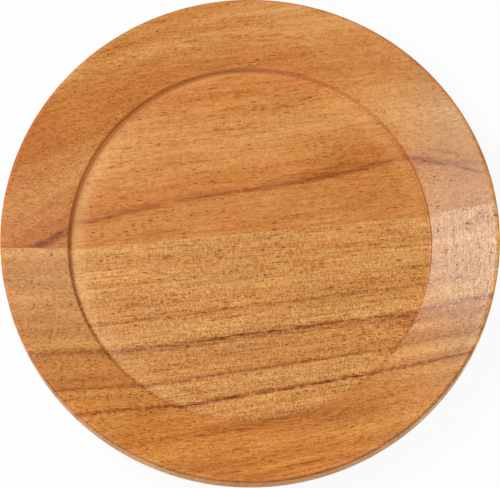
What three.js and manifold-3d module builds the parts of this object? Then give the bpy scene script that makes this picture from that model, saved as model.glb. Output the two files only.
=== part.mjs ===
// A round wooden plate with a broad rising rim, turned as one blank from two boards
// that were glued edge to edge. Millimetres, +Z up. The origin is on the turning axis,
// in the plane that the flat base stands on. The grain and the glue seam run along X.
import * as THREE from "three";
import { mergeVertices } from "three/addons/utils/BufferGeometryUtils.js";
import Module from "manifold-3d";

// The blank: two boards and the film of glue that holds them edge to edge.
const PLATE_DIAMETER = 254;
const SEAM_OFFSET = 6.5; // the seam lies this far behind the turning axis
const GLUE_THICKNESS = 0.15;

// The well, where the food lies.
const FLOOR_THICKNESS = 8.4; // from the base up to the well's floor
const WELL_DIAMETER = 185.8; // across the lip, where the wall meets the rim
const WELL_DEPTH = 4;
const WALL_DRAFT = 0.2; // how much nearer the axis the wall's foot is than its lip
const FLOOR_FILLET = 0.8; // where the floor turns up into the wall
const LIP_ROUND = 0.4;

// The rim, a cone of even thickness: its underside runs parallel to its top, down to the
// flat base.
const RIM_RISE = 12.6; // from the lip up to the outer edge
const RIM_THICKNESS = 14.5; // measured straight up and down
const EDGE_ROUND = 1.5; // outer edge, upper corner
const UNDER_EDGE_ROUND = 3; // outer edge, lower corner
const BASE_ROUND = 12; // where the flat base turns up into the rim's underside

// Fineness of the solids.
const TURN_STEPS = 120; // around the axis, a multiple of 4
const ARC_STEP = Math.PI / 12; // along each rounded corner

const BACK_COLOUR = 0xc9803f;
const FRONT_COLOUR = 0xcd8b46;
const GLUE_COLOUR = 0xa86a35;

const plateRadius = PLATE_DIAMETER / 2;
const lipRadius = WELL_DIAMETER / 2;
const wallFootRadius = lipRadius - WALL_DRAFT;
const lipHeight = FLOOR_THICKNESS + WELL_DEPTH;
const rimHeight = lipHeight + RIM_RISE;
const underEdgeHeight = rimHeight - RIM_THICKNESS;
const rimSlope = RIM_RISE / (plateRadius - lipRadius);
const baseRadius = plateRadius - underEdgeHeight / rimSlope;

// The corners of the half section, from the axis over the top and back underneath:
// radius, height, and the radius that the corner is rounded to.
const section = [
  [0, FLOOR_THICKNESS, 0],
  [wallFootRadius, FLOOR_THICKNESS, FLOOR_FILLET],
  [lipRadius, lipHeight, LIP_ROUND],
  [plateRadius, rimHeight, EDGE_ROUND],
  [plateRadius, underEdgeHeight, UNDER_EDGE_ROUND],
  [baseRadius, 0, BASE_ROUND],
  [0, 0, 0],
];

// An outline through the corners, each rounded by an arc that touches both its sides and
// takes up no more than half of the shorter one.
function roundedOutline(corners) {
  const points = [];
  corners.forEach(([r, z, round], i) => {
    const corner = new THREE.Vector2(r, z);
    if (!round) {
      points.push(corner);
      return;
    }
    const sides = [corners[i - 1], corners[i + 1]].map(([nextR, nextZ]) =>
      new THREE.Vector2(nextR, nextZ).sub(corner),
    );
    const room = Math.min(...sides.map((side) => side.length())) / 2;
    const [before, after] = sides.map((side) => side.normalize());
    const halfAngle = Math.acos(before.dot(after)) / 2;
    const radius = Math.min(round, room * Math.tan(halfAngle));
    const centre = before
      .clone()
      .add(after)
      .setLength(radius / Math.sin(halfAngle))
      .add(corner);
    const spoke = corner
      .clone()
      .addScaledVector(before, radius / Math.tan(halfAngle))
      .sub(centre);
    const turn = Math.sign(after.cross(before)) * (Math.PI - 2 * halfAngle);
    const steps = Math.ceil(Math.abs(turn) / ARC_STEP);
    for (let k = 0; k <= steps; k++) {
      const turned = spoke.clone().rotateAround(new THREE.Vector2(), (turn * k) / steps);
      points.push(turned.add(centre));
    }
  });
  return points;
}

const wasm = await Module();
wasm.setup();

// A closed three.js geometry as a solid that can be cut.
function solidOf(geometry) {
  const bare = geometry.index ? geometry.toNonIndexed() : geometry.clone();
  bare.deleteAttribute("normal");
  bare.deleteAttribute("uv");
  const merged = mergeVertices(bare, 1e-4);
  const faces = [];
  for (let i = 0; i < merged.index.count; i += 3) {
    const [a, b, c] = merged.index.array.slice(i, i + 3);
    if (a !== b && b !== c && c !== a) faces.push(a, b, c);
  }
  return new wasm.Manifold(
    new wasm.Mesh({
      numProp: 3,
      vertProperties: merged.attributes.position.array,
      triVerts: Uint32Array.from(faces),
    }),
  );
}

// A cut solid as a named mesh.
function pieceOf(name, solid, colour) {
  const { vertProperties, triVerts } = solid.getMesh();
  const geometry = new THREE.BufferGeometry()
    .setAttribute("position", new THREE.BufferAttribute(vertProperties, 3))
    .setIndex(new THREE.BufferAttribute(triVerts, 1));
  geometry.computeVertexNormals();
  const material = new THREE.MeshStandardMaterial({
    color: colour,
    roughness: 0.45,
    metalness: 0,
  });
  const mesh = new THREE.Mesh(geometry, material);
  mesh.name = name;
  return mesh;
}

// The whole turned form, as if it were one piece of wood.
function turnedForm() {
  const lathe = new THREE.LatheGeometry(roundedOutline(section).reverse(), TURN_STEPS);
  return solidOf(lathe.rotateX(Math.PI / 2));
}

// A block of the blank that reaches from one Y to another, past the form in X and Z.
function boardBlock(fromY, toY) {
  const block = new THREE.BoxGeometry(PLATE_DIAMETER * 2, toY - fromY, rimHeight * 4);
  return solidOf(block.translate(0, (fromY + toY) / 2, 0));
}

const form = turnedForm();
const seamFront = SEAM_OFFSET - GLUE_THICKNESS / 2;
const seamBack = SEAM_OFFSET + GLUE_THICKNESS / 2;

const plate = new THREE.Group();
plate.name = "wooden_plate";
plate.add(
  pieceOf("back_board", form.intersect(boardBlock(seamBack, PLATE_DIAMETER)), BACK_COLOUR),
  pieceOf("front_board", form.intersect(boardBlock(-PLATE_DIAMETER, seamFront)), FRONT_COLOUR),
  pieceOf("glue_seam", form.intersect(boardBlock(seamFront, seamBack)), GLUE_COLOUR),
);

export default plate;
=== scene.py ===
import bmesh
import bpy
import numpy as np
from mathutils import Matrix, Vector


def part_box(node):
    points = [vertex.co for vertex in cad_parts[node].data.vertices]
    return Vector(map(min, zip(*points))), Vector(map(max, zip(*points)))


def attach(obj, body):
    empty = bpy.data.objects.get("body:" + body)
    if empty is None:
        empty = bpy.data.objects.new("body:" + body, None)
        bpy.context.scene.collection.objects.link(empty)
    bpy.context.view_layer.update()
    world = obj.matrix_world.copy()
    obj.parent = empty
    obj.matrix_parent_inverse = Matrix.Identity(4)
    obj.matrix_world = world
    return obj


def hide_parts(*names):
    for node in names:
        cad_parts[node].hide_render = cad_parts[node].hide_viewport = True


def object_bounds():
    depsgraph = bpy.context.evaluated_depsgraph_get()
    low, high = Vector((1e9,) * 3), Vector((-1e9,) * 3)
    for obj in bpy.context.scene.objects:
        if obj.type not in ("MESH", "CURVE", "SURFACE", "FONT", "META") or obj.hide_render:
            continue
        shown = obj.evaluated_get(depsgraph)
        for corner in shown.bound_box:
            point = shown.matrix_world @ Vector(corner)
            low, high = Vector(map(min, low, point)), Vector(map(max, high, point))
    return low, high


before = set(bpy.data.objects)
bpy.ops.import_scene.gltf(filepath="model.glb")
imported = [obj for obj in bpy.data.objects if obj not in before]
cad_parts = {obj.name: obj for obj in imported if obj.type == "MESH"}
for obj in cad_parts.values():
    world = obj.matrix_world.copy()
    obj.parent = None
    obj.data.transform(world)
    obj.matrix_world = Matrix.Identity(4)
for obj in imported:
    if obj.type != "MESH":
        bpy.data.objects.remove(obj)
cad_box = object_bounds()

# The front board
# The nearer of two oiled hardwood boards, sawn on the quarter: dark growth lines run nearly
# parallel along it, and short rays lie across them. The boards were glued up first, and the
# whole plate was then turned from them on a lathe, sanded and oiled.
MM = 0.001
PLATE_RADIUS = cad_box[1].x
FLOOR_HEIGHT = 8.4 * MM
WELL_RADIUS = 92.9 * MM  # to the lip, where the wall meets the rim
WELL_DEPTH = 4.0 * MM
WALL_DRAFT = 0.2 * MM
FLOOR_FILLET = 0.8 * MM
LIP_ROUND = 0.4 * MM
RIM_RISE = 12.6 * MM
RIM_THICKNESS = 14.5 * MM
EDGE_ROUND = 1.5 * MM
UNDER_EDGE_ROUND = 3 * MM
BASE_ROUND = 12 * MM
FRONT_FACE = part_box("front_board")[1].y  # the sawn edge of the front board
BACK_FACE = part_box("back_board")[0].y  # the sawn edge of the back board
ARC_STEPS = 10
LONGEST_STEP = 2.5 * MM
SWING_STEPS = 420
JOIN_WITHIN = 0.001 * MM
CREASE = np.radians(32)


def turned_section(through):
    """The plate's half section as rows of (radius, height), from the axis over the top and back
    underneath. Corners become arcs: a corner's arc has its centre on the bisector of its two
    sides, at rounding / sin(half the angle between them). Straight runs are divided evenly, and
    the section has a point exactly at the radius `through`, above and below."""
    lip_height = FLOOR_HEIGHT + WELL_DEPTH
    edge_height = lip_height + RIM_RISE
    under_height = edge_height - RIM_THICKNESS
    slope = RIM_RISE / (PLATE_RADIUS - WELL_RADIUS)
    corners = [
        ((WELL_RADIUS - WALL_DRAFT, FLOOR_HEIGHT), FLOOR_FILLET),
        ((WELL_RADIUS, lip_height), LIP_ROUND),
        ((PLATE_RADIUS, edge_height), EDGE_ROUND),
        ((PLATE_RADIUS, under_height), UNDER_EDGE_ROUND),
        ((PLATE_RADIUS - under_height / slope, 0), BASE_ROUND),
    ]
    points = [(0, FLOOR_HEIGHT), (through, FLOOR_HEIGHT)]
    points += [point for point, _ in corners] + [(through, 0), (0, 0)]
    points = np.array(points)
    outline = [points[0], points[1]]
    for i, (_, rounding) in enumerate(corners, start=2):
        sides = [points[i - 1] - points[i], points[i + 1] - points[i]]
        before, after = [side / np.linalg.norm(side) for side in sides]
        half_angle = np.arccos(before @ after) / 2
        middle = (before + after) / np.linalg.norm(before + after)
        across = (before - after) / np.linalg.norm(before - after)
        centre = points[i] + middle * rounding / np.sin(half_angle)
        swing = np.linspace(1, -1, ARC_STEPS + 1)[:, None] * (np.pi / 2 - half_angle)
        outline.extend(centre - rounding * (middle * np.cos(swing) - across * np.sin(swing)))
    outline = np.array(outline + [points[-2], points[-1]])
    lengths = np.linalg.norm(np.diff(outline, axis=0), axis=1)
    marks = np.concatenate([[0], np.cumsum(np.ceil(lengths / LONGEST_STEP))])
    stations = np.arange(marks[-1] + 1)
    return np.stack([np.interp(stations, marks, column) for column in outline.T], axis=1)


def turned_piece(name, points, faces):
    """A piece of the plate from its surface. Points that meet are joined, an open sawn edge is
    closed by one flat polygon, the faces look outward, and creases stay sharp."""
    mesh = bpy.data.meshes.new(name)
    mesh.from_pydata(points.reshape(-1, 3), [], faces)
    shape = bmesh.new()
    shape.from_mesh(mesh)
    bmesh.ops.remove_doubles(shape, verts=shape.verts, dist=JOIN_WITHIN)
    open_edges = [edge for edge in shape.edges if edge.is_boundary]
    bmesh.ops.holes_fill(shape, edges=open_edges, sides=0)
    bmesh.ops.recalc_face_normals(shape, faces=shape.faces)
    shape.to_mesh(mesh)
    shape.free()
    mesh.shade_smooth()
    mesh.set_sharp_from_angle(angle=CREASE)
    piece = bpy.data.objects.new(name, mesh)
    bpy.context.scene.collection.objects.link(piece)
    return piece


def board_surface(name, face, side):
    """The part of the turned form on one side of the plane y = face. A point of the section at
    radius r swings round the axis from one end of its chord on that plane to the other: from
    arcsin(face / r) to pi minus that behind the plane (side 1), and the rest of the circle in
    front of it (side -1)."""
    section = turned_section(face)
    if side > 0:
        section = section[section[:, 0] >= face]
    radius, height = section.T
    chord_end = np.arcsin(face / np.maximum(radius, face))
    start = chord_end if side > 0 else np.pi - chord_end
    finish = np.pi - chord_end if side > 0 else 2 * np.pi + chord_end
    share = np.linspace(0, 1, SWING_STEPS + 1)
    angle = start[:, None] + (finish - start)[:, None] * share
    x = radius[:, None] * np.cos(angle)
    y = radius[:, None] * np.sin(angle)
    z = np.broadcast_to(height[:, None], x.shape)
    index = np.arange(x.size).reshape(x.shape)
    quads = np.stack([index[:-1, :-1], index[1:, :-1], index[1:, 1:], index[:-1, 1:]], axis=-1)
    return turned_piece(name, np.stack([x, y, z], axis=-1), quads.reshape(-1, 4))


SPECK_CORE = 0.22
SPECK_EDGE = 0.42


class Wire:
    """An output socket in the material being made. Arithmetic on wires adds Math nodes."""

    def __init__(self, tree, socket):
        self.tree = tree
        self.socket = socket

    def add(self, kind, settings, inputs, output=0):
        """Adds a node: its settings first, then a value or a wire for each input."""
        node = self.tree.nodes.new(kind)
        for key, value in settings.items():
            if key == "stops":
                fill_ramp(node.color_ramp, value)
            else:
                setattr(node, key, value)
        for key, value in inputs.items():
            socket = node.inputs[key]
            if isinstance(value, Wire):
                self.tree.links.new(value.socket, socket)
            else:
                socket.default_value = (*value, 1) if socket.type == "RGBA" else value
        return Wire(self.tree, node.outputs[output]) if node.outputs else None

    def math(self, operation, *values):
        return self.add("ShaderNodeMath", {"operation": operation}, dict(enumerate(values)))

    def __add__(self, other):
        return self.math("ADD", self, other)

    __radd__ = __add__

    def __sub__(self, other):
        return self.math("SUBTRACT", self, other)

    def __rsub__(self, other):
        return self.math("SUBTRACT", other, self)

    def __mul__(self, other):
        return self.math("MULTIPLY", self, other)

    __rmul__ = __mul__

    def __truediv__(self, other):
        return self.math("DIVIDE", self, other)

    def larger(self, other):
        return self.math("MAXIMUM", self, other)

    def from_axis(self):
        """How far a place is from the turning axis."""
        return self.vector("LENGTH", self.vector("MULTIPLY", self, (1, 1, 0)))

    def towards(self, degrees):
        """How far a place lies towards a side of the plate: 0 is the right, 90 the back, 180
        the left and 270 the front."""
        angle = np.radians(degrees)
        return self.vector("DOT_PRODUCT", self, (np.cos(angle), np.sin(angle), 0))

    def rise(self, low, high):
        """0 up to low, 1 from high on, and a smooth step between them."""
        ends = {"Value": self, "From Min": low, "From Max": high}
        return self.add("ShaderNodeMapRange", {"interpolation_type": "SMOOTHSTEP"}, ends)

    def hump(self, middle, reach):
        """1 at the middle, falling smoothly to 0 at a distance of reach on both sides."""
        return 1 - self.math("ABSOLUTE", self - middle).rise(0, reach)

    def vector(self, operation, *values):
        kind = "ShaderNodeVectorMath"
        output = "Value" if operation in ("LENGTH", "DOT_PRODUCT") else "Vector"
        return self.add(kind, {"operation": operation}, dict(enumerate(values)), output)

    def split(self):
        """The x, y and z of a vector, or the red, green and blue of a colour."""
        parts = self.add("ShaderNodeSeparateXYZ", {}, {"Vector": self})
        return [Wire(self.tree, socket) for socket in parts.socket.node.outputs]

    def join(self, y, z):
        """The vector that has this wire as its x."""
        return self.add("ShaderNodeCombineXYZ", {}, {"X": self, "Y": y, "Z": z})

    def blend(self, low, high):
        """The colour low where this wire is 0, and high where it is 1."""
        colours = {"Factor": self, 6: low, 7: high}
        return self.add("ShaderNodeMix", {"data_type": "RGBA"}, colours, output=2)

    def exp(self):
        return self.math("EXPONENT", self)

    def sine(self):
        return self.math("SINE", self)

    def toned(self, tone, warmth):
        """This colour in another shade of the same wood, darker for a tone below 0: red times
        e^0.6t, green times e^t and blue times e^1.75t, because a darker grain is also redder.
        A warmth above 0 takes blue away and adds a little red."""
        red = (0.6 * tone + 0.02 * warmth).exp()
        blue = (1.75 * tone - 0.07 * warmth).exp()
        return self.vector("MULTIPLY", self, red.join(tone.exp(), blue))

    def deepened(self):
        """This tone less 0.8 times its square: dark grains get darker and pale ones duller."""
        return self - 0.8 * self * self

    def tinted(self, where, tint):
        """This colour times the tint where the wire is 1, and as it was where it is 0."""
        return self.vector("MULTIPLY", self, where.blend((1, 1, 1), tint))

    def brightened(self, factor):
        """This vector or colour times a number."""
        kind = "ShaderNodeVectorMath"
        return self.add(kind, {"operation": "SCALE"}, {"Vector": self, "Scale": factor})

    def counted(self, size, start):
        """This place counted in grains of the given size in mm, along the grain, across it and
        up. The start picks another part of a pattern."""
        shrunk = self.vector("MULTIPLY", self, tuple(1 / length for length in size))
        return self.vector("ADD", shrunk, (start, start, start))

    def noise(self, size, start):
        """Soft noise about 0, seldom past -1 and 1, with grains of the given size."""
        pattern = {"Vector": self.counted(size, start), "Scale": 1.0, "Detail": 1.0}
        return self.add("ShaderNodeTexNoise", {}, pattern) * 3 - 1.5

    def specks(self, size, start, share):
        """Scattered lens-shaped specks. One is in every cell of the given size whose own random
        number is below share: 1 up to SPECK_CORE of a cell from the middle, 0 from SPECK_EDGE."""
        pattern = {"Vector": self.counted(size, start), "Scale": 1.0}
        cell = self.add("ShaderNodeTexVoronoi", {}, pattern)
        chance = Wire(self.tree, cell.socket.node.outputs["Color"]).split()[0]
        return chance.math("LESS_THAN", chance, share) * (1 - cell.rise(SPECK_CORE, SPECK_EDGE))


def fill_ramp(ramp, stops):
    """Gives a colour ramp its stops, a list of (position, colour)."""
    ramp.interpolation = "EASE"
    while len(ramp.elements) < len(stops):
        ramp.elements.new(1.0)
    for element, (position, colour) in zip(ramp.elements, stops):
        element.position = position
        element.color = (*colour, 1)


def new_material(piece, name):
    """A node material on the piece, and a wire that is the place in the wood in mm."""
    material = bpy.data.materials.new(name)
    material.use_nodes = True
    material.node_tree.nodes.clear()
    piece.data.materials.append(material)
    coordinates = material.node_tree.nodes.new("ShaderNodeTexCoord")
    return Wire(material.node_tree, coordinates.outputs["Object"]).brightened(1 / MM)


def growth_colour(across, zones):
    """The slow change of colour from one year's growth to another: a list of (mm, colour)."""
    first, last = zones[0][0], zones[-1][0]
    ends = {"Value": across, "From Min": first, "From Max": last}
    share = across.add("ShaderNodeMapRange", {}, ends)
    stops = [((at - first) / (last - first), colour) for at, colour in zones]
    return share.add("ShaderNodeValToRGB", {"stops": stops}, {"Fac": share})


LINE_FADE = 14  # a line comes and goes over this many mm on either side of its ends


def growth_lines(across, along, lines):
    """Dark growth lines: 1 on the darkest and 0 off them. Each is (mm across the growth, reach
    to each side, depth, where along the grain it starts, where it ends)."""
    darkness = None
    for at, reach, depth, start, end in lines:
        ends = along.rise(start - LINE_FADE, start + LINE_FADE)
        ends = ends - along.rise(end - LINE_FADE, end + LINE_FADE)
        line = across.hump(at, reach) * ends * depth
        darkness = darkness.larger(line) if darkness else line
    return darkness


def stains(place, spots):
    """Lengthwise stains: 1 in the middle of a spot times its depth, and 0 outside them. Each is
    (x, y, how far y climbs for each mm of x, reach along, reach across, depth)."""
    x, y, _ = place.split()
    darkness = None
    for middle_x, middle_y, climb, reach_x, reach_y, depth in spots:
        aside = y - middle_y - (x - middle_x) * climb
        spot = x.hump(middle_x, reach_x) * aside.hump(0, reach_y) * depth
        darkness = darkness.larger(spot) if darkness else spot
    return darkness


# Painted light on the floor of the well near its wall: a pale painted sheen, and light painted
# over the shade in the corner at its foot.
FLOOR_LIGHT_PALE = (1.0, 0.70, 0.33)
FLOOR_LIGHT_SHARE = 0.2
CORNER_LIGHT_PALE = (0.95, 0.43, 0.13)
CORNER_LIGHT_SHARE = 0.85


def painted_floor_light(colour, place):
    """The colour with painted light on the floor of the well towards its wall, most on the back
    left. A pale painted sheen also lifts the wall's cast shadow, and a band of painted light lies
    over the shade in the corner under the wall there."""
    _, y, z = place.split()
    from_lip = place.from_axis() - WELL_RADIUS / MM
    floor_light = from_lip.rise(-11.9, -2.9) * (1 - from_lip.rise(-1.9, -1.3))
    floor_light = floor_light * place.towards(121).rise(-77.2, 34.3) * (1 - 0.85 * y.rise(40, 80))
    corner_light = from_lip.rise(-2.7, -1.5) * (1 - z.rise(9.2, 10.0)) * place.towards(125).rise(50, 88)
    colour = (FLOOR_LIGHT_SHARE * floor_light).blend(colour, FLOOR_LIGHT_PALE)
    return (CORNER_LIGHT_SHARE * corner_light).blend(colour, CORNER_LIGHT_PALE)


# Painted shade and painted light on the wall of the well and in the corner at its foot.
FOOT_SHADE = (0.94, 0.83, 0.75)
WALL_SHADE = (0.92, 0.56, 0.32)
WALL_BACK_LIGHT = (1.22, 1.12, 0.98)
WALL_LIT = (1.05, 1.28, 1.7)
WALL_LIT_MOST = (1.2, 1.3, 1.5)
WALL_RIGHT_SHADE = (0.84, 0.86, 0.90)
LIP_SHADE = (0.75, 0.62, 0.55)


def painted_wall_shading(colour, place):
    """The colour with painted shade on the wall of the well on the left, and in the corner under
    it. The wall has painted light at the back, the most at the back right, and a little painted
    shade on the right. A line of painted shade follows its lip on the left and at the back."""
    x, y, z = place.split()
    from_lip = place.from_axis() - WELL_RADIUS / MM
    above_foot = z.rise(9.4, 10.2)
    below_lip = 1 - z.rise(12.1, 12.4)
    foot = from_lip.rise(-2.1, -1.3) * (1 - above_foot)
    wall = from_lip.rise(-0.4, -0.2) * above_foot * below_lip
    upper_wall = from_lip.rise(-1.0, -0.4) * below_lip
    colour = colour.tinted(foot * place.towards(180).rise(78, 90), FOOT_SHADE)
    colour = colour.tinted(wall * place.towards(180).rise(25, 60) * y.rise(-60, -20), WALL_SHADE)
    colour = colour.tinted(wall * place.towards(75).rise(45, 85), WALL_BACK_LIGHT)
    colour = colour.tinted(upper_wall * place.towards(55).rise(55, 88), WALL_LIT)
    colour = colour.tinted(upper_wall * place.towards(65).rise(86, 92), WALL_LIT_MOST)
    colour = colour.tinted(upper_wall * x.rise(89.5, 92.0), WALL_RIGHT_SHADE)
    # painted shade: a dark line along the lip on the left and at the back
    shaded_sides = y.rise(0, 40).larger(place.towards(202).rise(55.7, 78.9))
    lip_shade = from_lip.hump(0.45, 0.55) * z.rise(11.9, 12.2) * shaded_sides
    return colour.tinted(lip_shade, LIP_SHADE)


# Painted light and shade on the plate's outer edge: light the side would take from the white
# floor, and shade and light on the rounded corner above it.
SIDE_BOUNCE_LIGHT = (1.35, 1.6, 1.85)
SIDE_BOUNCE_LIGHTER = (1.12, 1.22, 1.7)
EDGE_CORNER_SHADE = (0.85, 0.78, 0.72)
EDGE_CORNER_LIGHT = (1.3, 1.4, 1.5)
EDGE_RED = (1.0, 0.88, 0.80)


def painted_edge_light(colour, place):
    """The colour with painted light on the plate's side, as if from the white floor, most on the
    left and the right. The corner above it has painted shade at the front and painted light at
    the front right, and is reddish on the left and at the back right."""
    x, _, z = place.split()
    from_side = place.from_axis() - PLATE_RADIUS / MM
    side = from_side.rise(-1.1, -0.4) * (1 - z.rise(22.8, 23.8))
    dark = from_side.hump(-0.5, 0.9) * z.rise(23.0, 23.6) * place.towards(270).rise(30, 95)
    pale = from_side.rise(-2.0, -1.2) * z.rise(22.8, 23.6)
    pale = pale * x.rise(98, 112) * place.towards(304).rise(33.3, 61.0)
    reddened = place.towards(45).rise(77.8, 106.1).larger(place.towards(180).rise(85, 110))
    red = from_side.rise(-2.8, -1.6) * reddened
    colour = colour.tinted(side, SIDE_BOUNCE_LIGHT).tinted(side * (x * x).rise(900, 8100), SIDE_BOUNCE_LIGHTER)
    return colour.tinted(dark, EDGE_CORNER_SHADE).tinted(pale, EDGE_CORNER_LIGHT).tinted(red, EDGE_RED)


def oiled(place, colour, roughness, height, shine):
    """A satin oil finish on the wood. Height is its relief in mm."""
    bump = place.add("ShaderNodeBump", {}, {"Height": height, "Distance": MM})
    skin = {"Base Color": colour, "Roughness": roughness, "Normal": bump}
    skin["Specular IOR Level"] = shine
    shader = place.add("ShaderNodeBsdfPrincipled", {}, skin)
    place.add("ShaderNodeOutputMaterial", {}, {"Surface": shader})


HONEY = (0.708, 0.329, 0.094)
GOLD = (0.678, 0.303, 0.082)
AMBER = (0.648, 0.275, 0.073)
TAWNY = (0.612, 0.249, 0.064)
FRONT_ZONES = [
    (-126, TAWNY),
    (-118, AMBER),
    (-112, AMBER),
    (-106, HONEY),
    (-100, AMBER),
    (-94, TAWNY),
    (-88, AMBER),
    (-82, GOLD),
    (-75, AMBER),
    (-70, HONEY),
    (-62, TAWNY),
    (-57, AMBER),
    (-50, TAWNY),
    (-42, HONEY),
    (-34, AMBER),
    (-26, AMBER),
    (-18, GOLD),
    (-8, GOLD),
    (-2, AMBER),
    (7, HONEY),
]
FAN_LEFT = 1.085  # how far apart the growth lies at the left end, against the middle
FAN_RIGHT = 0.915  # the same at the right end
LINE_SHARE = 0.667  # how far the darkest lines take on their own brown
LINE_DEPTH = 0.35  # how far they darken the wood as well
PORE_DEPTH = 0.03  # mm
FIBRE_HEIGHT = 0.006  # mm
SATIN = 0.28  # the roughness of the oiled wood between its pores
LINE_BROWN = (0.42, 0.28, 0.37)
STAIN_RED = (0.58, 0.28, 0.22)
# The front of the rim is deeper in colour.
RIM_DEEPER = (0.99, 0.84, 0.66)
# Painted shade: the right rim's colour is cooled and darkened under its highlight, to stand in
# for how the highlight looks there.
RIM_HIGHLIGHT_COOL = (0.84, 0.90, 1.0)
FRONT_LINES = [
    (-13.3, 1.5, 0.16, -130, 35),
    (-20.8, 1.2, 0.20, 45, 95),
    (-31.8, 1.8, 0.42, -95, 65),
    (-31.8, 2.4, 0.14, 65, 130),
    (-46.3, 2.6, 0.60, -130, 130),
    (-46.0, 1.8, 0.95, -35, 58),
    (-48.3, 1.6, 0.45, -60, 90),
    (-64.6, 1.8, 0.45, -130, 130),
    (-64.4, 1.3, 0.70, -35, 60),
    (-77.2, 1.9, 0.80, -130, 130),
    (-77.3, 1.5, 1.20, -60, 56),
    (-95.0, 3.4, 0.28, -75, 45),
    (-121.0, 1.6, 0.45, 2, 34),
]
FRONT_PORES = [
    (-35.0, 3.5, 1.0, -130, -100),
    (-51.5, 5.0, 1.0, -130, -75),
    (-68.5, 4.0, 0.7, -130, -50),
    (-77.0, 6.0, 0.9, -130, -50),
    (-56.0, 7.0, 0.8, 40, 80),
]
FRONT_STAINS = [
    (-16.7, -107.4, 0.05, 3.5, 0.6, 0.8),
    (-27.1, -110.2, 0.0, 2.5, 0.6, 0.7),
    (-19.2, -119.9, 0.05, 6, 0.8, 0.9),
    (-7.3, -119, 0.05, 4, 0.6, 0.8),
    (-29, -120.7, 0.1, 5, 0.6, 0.7),
    (12, -112.2, 0.1, 4, 0.5, 0.5),
    (0.7, -117.5, 0.1, 4, 0.5, 0.5),
    (-23.4, -101.9, 0.0, 2, 1.0, 0.7),
    (-14.4, -96.9, 0.0, 4, 0.8, 0.8),
    (-34.8, -98, 0.0, 5, 0.8, 0.7),
    (10, -118.8, 0.1, 4, 0.8, 0.8),
    (19, -118, 0.12, 8, 1.0, 0.7),
    (8, -92, 0.08, 16, 1.6, 0.35),
    (58, -88, 0.05, 14, 1.6, 0.3),
]


def worn_edge(place):
    """1 on about the outermost 2 mm of the rim, where hands wore the oil, and 0 off it."""
    from_side = place.from_axis() - PLATE_RADIUS / MM
    return from_side.rise(-2.4, -1.4)


def front_wood(piece):
    """Growth lines fan out a little to the left, short rays cross them, and vessels cut open by
    the surface show as dashes, or as dots where the rim climbs along the grain. The front of the
    rim is deeper in colour. The right of the rim is cooled and darkened under its highlight as
    painted shade, and the tool left fine rings there."""
    place = new_material(piece, "front_wood_oiled")
    x, y, z = place.split()
    rim = z.rise(9, 12)
    right_rim = rim * x.rise(80, 106)
    left = 1 - x.rise(-95, -50)
    near_seam = (1 - rim) * y.rise(-24, -8)
    deep_front_rim = rim * (1 - y.rise(-105, -15)) * (1 - 0.5 * x.rise(40, 90))
    worn = worn_edge(place)

    fan = FAN_LEFT - (FAN_LEFT - FAN_RIGHT) * x.rise(-127, 127)
    across = y / fan + 0.5 * place.noise((40, 14, 14), 3.1) + 0.35 * place.noise((7, 2, 3), 8.3)
    growth = x.join(across, z)
    wide_bands = growth.noise((60, 5, 30), 5.7)
    threads = growth.noise((50, 0.6, 0.8), 45.1)
    fibres = place.noise((9, 0.6, 0.6), 2.3)
    dashes = place.noise((3, 0.6, 0.6), 51.7)
    grit = place.noise((0.6, 0.6, 0.6), 63.9)
    mottle = place.noise((1.5, 2.2, 2.2), 71.3)
    rays = place.noise((0.55, 2.4, 2.4), 95.7)
    cloud = place.noise((38, 20, 12), 17.3)
    rings = place.from_axis().join(y, z).noise((0.6, 5, 5), 91.3)
    warmth = place.noise((7, 4, 4), 77.7) + place.noise((2, 1.6, 1.6), 83.1) + 2.5 * wide_bands
    lines = growth_lines(across, x, FRONT_LINES)
    porous = growth_lines(across, x, FRONT_PORES)
    share = 0.09 + 0.3 * lines + 0.5 * porous - 0.12 * wide_bands
    pores = place.specks((3.6, 0.9, 0.6), 31.3, share)

    gritty = 0.85 - 0.4 * rim - (0.25 + 0.08 * rim) * left - 0.34 * near_seam - 0.1 * right_rim
    grain = gritty * grit + 0.25 * dashes + 0.3 * fibres + 0.32 * threads
    grain = grain + (0.32 - 0.18 * rim) * mottle + 0.35 * right_rim * rings
    tone = grain.deepened() + (0.38 - 0.22 * rim) * rays
    tone = tone + (0.18 + 0.1 * rim) * wide_bands + 0.06 * cloud - (1.2 - 0.2 * rim) * pores
    lines = 0.88 * lines * (1 - 0.8 * fibres - 0.6 * dashes)
    colour = growth_colour(across + 1.5 * cloud, FRONT_ZONES)
    colour = colour.toned(tone - LINE_DEPTH * lines, warmth)
    colour = colour.tinted(LINE_SHARE * lines, LINE_BROWN)
    colour = colour.tinted(stains(place, FRONT_STAINS), STAIN_RED)
    colour = colour.tinted(deep_front_rim, RIM_DEEPER).tinted(right_rim * (1 - worn), RIM_HIGHLIGHT_COOL)
    colour = painted_floor_light(colour, place)
    colour = painted_wall_shading(colour, place)
    colour = painted_edge_light(colour, place)

    roughness = SATIN + 0.05 * fibres + 0.5 * pores + 0.3 * worn
    roughness = roughness - 0.1 * right_rim * (rings + rays) - 0.1 * rim * grain
    height = FIBRE_HEIGHT * fibres - PORE_DEPTH * pores
    oiled(place, colour, roughness, height, 0.35)


front_board = board_surface("front_board_turned", FRONT_FACE, -1)
front_wood(front_board)
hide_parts("front_board")
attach(front_board, "root")

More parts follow.
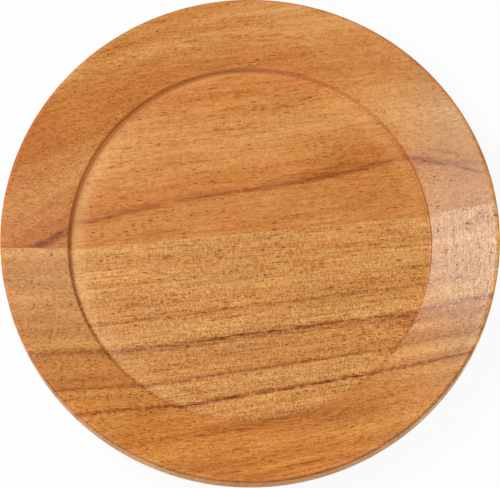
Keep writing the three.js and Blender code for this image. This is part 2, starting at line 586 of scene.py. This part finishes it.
# The back board
# The farther board is oiled hardwood too, but redder and plainer. It was sawn at a slant to
# the growth, so a soft dark streak crosses it, and bends where the rim climbs through it.
SAFFRON = (0.708, 0.308, 0.085)
CORN = (0.668, 0.268, 0.067)
COPPER = (0.643, 0.243, 0.058)
RUSSET = (0.622, 0.221, 0.049)
BACK_ZONES = [
    (2, COPPER),
    (24, COPPER),
    (33, RUSSET),
    (38, RUSSET),
    (46, CORN),
    (51, CORN),
    (56, SAFFRON),
    (63, SAFFRON),
    (70, CORN),
    (75, CORN),
    (80, RUSSET),
    (104, RUSSET),
    (112, COPPER),
    (121, SAFFRON),
    (129, COPPER),
    (134, SAFFRON),
    (138, CORN),
    (143, COPPER),
]
BACK_LINES = [
    (30.0, 3.6, 0.36, -130, 130),
    (29.6, 2.2, 0.66, -130, 82),
    (29.2, 1.2, 0.30, -70, 20),
    (29.4, 2.0, 0.35, -100, -50),
    (30.0, 3.0, 0.85, -108, -92),
    (33.6, 1.6, 0.35, 22, 60),
    (43.5, 3.0, 0.20, 38, 70),
]
BACK_PORES = [
    (20.0, 7.0, 1.0, -80, -30),
    (39.0, 5.0, 0.8, 38, 70),
    (92.0, 4.0, 0.4, -60, 60),
]
BACK_LEAN = 0.112  # the growth climbs this much for each mm along the grain
BACK_FALL = 1.1  # and falls this much for each mm of height
WAVE_HEIGHT = 1.5
WAVE_LENGTH = 160
LEFT_ROSE = (0.95, 0.86, 0.80)
RIGHT_PALE = (1.07, 1.19, 1.42)
PURPLE_BROWN = (0.45, 0.30, 0.32)
BACK_STAINS = [
    (-98.5, 13.0, 0.54, 9, 2.6, 1.0),
    (-106, 8.8, 0.36, 8, 2.4, 1.0),
    (-111, 7.3, 0.0, 8, 1.4, 0.6),
    (90, 36.3, -0.26, 8, 2.0, 0.75),
    (99, 32.3, -0.42, 10, 2.2, 0.70),
    (93.5, 35, -0.3, 5, 2.6, 0.60),
    (114, 26.2, -0.50, 14, 1.6, 0.80),
    (104, 37.0, -0.35, 14, 1.5, 0.50),
    (-36.5, 73.5, 0.05, 3.5, 0.5, 0.8),
    (-27, 74, 0.1, 3, 0.5, 0.7),
    (-14, 70.5, 0.2, 4, 0.6, 0.9),
    (30, 80, 0.1, 8, 0.5, 0.8),
    (36, 75, 0.15, 5, 0.6, 0.8),
    (24, 73, 0.0, 3, 0.5, 0.7),
    (-62, 9, 0.05, 5, 0.5, 0.7),
    (-47, 11, 0.05, 20, 2.5, 0.3),
    (51, 47.5, 0.08, 9, 0.8, 0.4),
    (60, 45, 0.1, 24, 5.0, 0.15),
]


def back_wood(piece):
    """The growth leans to the grain and to the height, with a gentle wave along the board. The
    rim is rosy on the left and pale at the back right. On the right it is cooled and darkened
    under its highlight as painted shade."""
    place = new_material(piece, "back_wood_oiled")
    x, y, z = place.split()
    rim = z.rise(9, 12)
    pale_rim = rim * place.towards(45).rise(86.3, 106.1)
    worn = worn_edge(place)

    wave = WAVE_HEIGHT * (x * (2 * np.pi / WAVE_LENGTH)).sine()
    lean = y - BACK_LEAN * x + BACK_FALL * (z - FLOOR_HEIGHT / MM) + wave
    course = lean + 0.6 * place.noise((40, 12, 12), 4.9)
    across = course + 0.4 * place.noise((10, 2, 2), 9.7)
    growth = x.join(across, z)
    wide_bands = growth.noise((60, 6, 30), 6.1)
    threads = growth.noise((50, 1.3, 1.3), 47.9)
    fibres = place.noise((18, 1.2, 1.2), 3.7)
    dashes = place.noise((4, 0.6, 0.6), 55.1)
    grit = place.noise((0.8, 0.6, 0.6), 67.3)
    mottle = place.noise((1.8, 1.8, 1.8), 73.9)
    cloud = place.noise((45, 18, 12), 19.1)
    warmth = place.noise((7, 4, 4), 79.3) + place.noise((2, 1.6, 1.6), 87.5)
    lines = growth_lines(course, x, BACK_LINES)
    porous = growth_lines(course, x, BACK_PORES)
    share = 0.055 + 0.25 * porous - 0.12 * wide_bands
    pores = place.specks((4.2, 0.9, 0.7), 37.9, share) * (1 - 0.5 * pale_rim)

    grain = (0.36 + 0.1 * rim) * grit + 0.29 * dashes + 0.21 * fibres
    grain = (grain + 0.13 * threads + 0.16 * mottle) * (1 - 0.22 * pale_rim)
    tone = grain.deepened() + 0.12 * wide_bands + 0.06 * cloud - 1.1 * pores
    lines = lines * (1 - 0.5 * fibres - 0.3 * dashes)
    streaks = stains(place, BACK_STAINS) * (1 + 0.5 * fibres)
    colour = growth_colour(across + 2.0 * cloud, BACK_ZONES)
    colour = colour.toned(tone - LINE_DEPTH * lines, warmth)
    colour = colour.tinted(LINE_SHARE * lines, LINE_BROWN)
    colour = colour.tinted(rim * (1 - x.rise(-105, -80)), LEFT_ROSE)
    colour = colour.tinted(pale_rim, RIGHT_PALE).tinted(streaks, PURPLE_BROWN)
    # painted shade under the right rim's highlight
    colour = colour.tinted(rim * x.rise(80, 106) * (1 - worn), RIM_HIGHLIGHT_COOL)
    colour = painted_floor_light(colour, place)
    colour = painted_wall_shading(colour, place)
    colour = painted_edge_light(colour, place)

    roughness = SATIN + 0.05 * fibres + 0.5 * pores + 0.3 * worn - 0.1 * rim * grain
    height = FIBRE_HEIGHT * fibres - PORE_DEPTH * pores
    oiled(place, colour, roughness, height, 0.25)


back_board = board_surface("back_board_turned", BACK_FACE, 1)
back_wood(back_board)
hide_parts("back_board")
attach(back_board, "root")

# The glue line
# A film of brown wood glue between the two sawn edges. It was turned and sanded flush with
# the boards, so only its edge shows, as a hairline across the plate.
GLUE_BROWN = (0.60, 0.25, 0.06)
GLUE_DARK = (0.50, 0.19, 0.04)


def glue_film(name):
    """The turned form between the two sawn faces. A point of the section at radius r is at
    x = sqrt(r squared - y squared), on the right and mirrored on the left, on both faces."""
    section = turned_section(BACK_FACE)
    radius, height = section[section[:, 0] >= BACK_FACE].T
    y = np.array([[FRONT_FACE], [BACK_FACE]])
    right = np.sqrt(radius**2 - y**2)
    x = np.concatenate([right, -right[:, ::-1]], axis=1)
    z = np.broadcast_to(np.concatenate([height, height[::-1]]), x.shape)
    y = np.broadcast_to(y, x.shape)
    count = x.shape[1]
    near = np.arange(count)
    far = near + count
    after = np.roll(near, -1)
    strip = np.stack([near, after, after + count, far], axis=1)
    faces = strip.tolist() + [near.tolist(), far.tolist()]
    return turned_piece(name, np.stack([x, y, z], axis=-1), faces)


def dried_glue(piece):
    """Brown glue, uneven in colour where it soaked into the wood."""
    place = new_material(piece, "glue_dried")
    soak = place.noise((6, 2, 2), 41.3)
    colour = soak.rise(-0.6, 0.6).blend(GLUE_DARK, GLUE_BROWN)
    oiled(place, colour, 0.35 + 0.1 * soak, 0.01 * soak, 0.2)


glue_line = glue_film("glue_line")
dried_glue(glue_line)
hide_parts("glue_seam")
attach(glue_line, "root")

# The floor
# A pale matt studio floor that the plate stands on. It isn't part of the plate.
FLOOR_REACH = 5.0
FLOOR_WHITE = (0.86, 0.86, 0.86)
FLOOR_GLOW = 0.93  # the share of the straight white where the floor is seen
floor_mesh = bpy.data.meshes.new("studio_floor")
floor_corners = [
    (-FLOOR_REACH, -FLOOR_REACH, 0),
    (FLOOR_REACH, -FLOOR_REACH, 0),
    (FLOOR_REACH, FLOOR_REACH, 0),
    (-FLOOR_REACH, FLOOR_REACH, 0),
]
floor_mesh.from_pydata(floor_corners, [], [(0, 1, 2, 3)])
floor = bpy.data.objects.new("studio_floor", floor_mesh)
bpy.context.scene.collection.objects.link(floor)


def studio_floor(piece):
    """White where it is seen, straight, in a gloss or through glass, and a plain matt white
    surface to every other ray. A little of the matt white shows, and the shadow with it."""
    place = new_material(piece, "studio_white")
    rays = place.add("ShaderNodeLightPath", {}, {}).socket.node.outputs
    camera, glossy, through = [
        Wire(place.tree, rays[name])
        for name in ("Is Camera Ray", "Is Glossy Ray", "Is Transmission Ray")
    ]
    matt = place.add("ShaderNodeBsdfDiffuse", {}, {"Color": FLOOR_WHITE})
    white = place.add("ShaderNodeEmission", {}, {"Color": (1, 1, 1), "Strength": 1.0})
    seen = camera.larger(glossy).larger(through) * FLOOR_GLOW
    mixed = place.add("ShaderNodeMixShader", {}, {0: seen, 1: matt, 2: white})
    place.add("ShaderNodeOutputMaterial", {}, {"Surface": mixed})


studio_floor(floor)

# The lights
# A broad key from the left and a little behind, two smaller lamps higher on that side, weaker
# softboxes from the right and the front, and hardly any light from the room.
LAMP_DISTANCE = 1.3
KEY_FROM = Vector((-0.557, 0.321, 0.766))
HIGH_FROM = Vector((-0.332, 0.332, 0.883))
LEFT_FROM = Vector((-0.447, 0.079, 0.891))
RIGHT_FROM = Vector((0.604, 0.220, 0.766))
FRONT_FROM = Vector((0, -0.643, 0.766))
ROOM_LIGHT = (0.01, 0.01, 0.01)


def softbox(name, direction, width, watts):
    """A square area light that faces the middle of the plate."""
    light = bpy.data.lights.new(name, "AREA")
    light.shape = "SQUARE"
    light.size = width
    light.energy = watts
    lamp = bpy.data.objects.new(name, light)
    lamp.location = direction.normalized() * LAMP_DISTANCE
    lamp.rotation_euler = direction.to_track_quat("Z", "Y").to_euler()
    bpy.context.scene.collection.objects.link(lamp)
    lamp.visible_camera = False


softbox("key_softbox", KEY_FROM, 0.5, 6.7)
softbox("high_softbox", HIGH_FROM, 0.3, 4.3)
softbox("left_softbox", LEFT_FROM, 0.3, 1.6)
softbox("right_softbox", RIGHT_FROM, 0.6, 2.6)
softbox("front_softbox", FRONT_FROM, 0.6, 5.2)

world = bpy.data.worlds.new("room")
world.use_nodes = True
bpy.context.scene.world = world
world.node_tree.nodes["Background"].inputs["Color"].default_value = (*ROOM_LIGHT, 1)

# The camera
# It looks down on the plate through a long lens, a little from the left of the front.
CAMERA_ELEVATION = np.radians(75.39)
CAMERA_TURN = np.radians(5.51)
CAMERA_DISTANCE = 2.2
LOOK_AT = Vector((0, 0, FLOOR_HEIGHT))
towards_camera = Vector((
    -np.cos(CAMERA_ELEVATION) * np.sin(CAMERA_TURN),
    -np.cos(CAMERA_ELEVATION) * np.cos(CAMERA_TURN),
    np.sin(CAMERA_ELEVATION),
))
lens = bpy.data.cameras.new("camera")
lens.lens = 309.7
lens.sensor_width = 36
lens.shift_x = -0.00014
lens.shift_y = 0.00258
lens.clip_end = 50
camera = bpy.data.objects.new("camera", lens)
camera.location = LOOK_AT + towards_camera * CAMERA_DISTANCE
camera.rotation_euler = towards_camera.to_track_quat("Z", "Y").to_euler()
bpy.context.scene.collection.objects.link(camera)
bpy.context.scene.camera = camera
bpy.context.scene.view_settings.view_transform = "Standard"
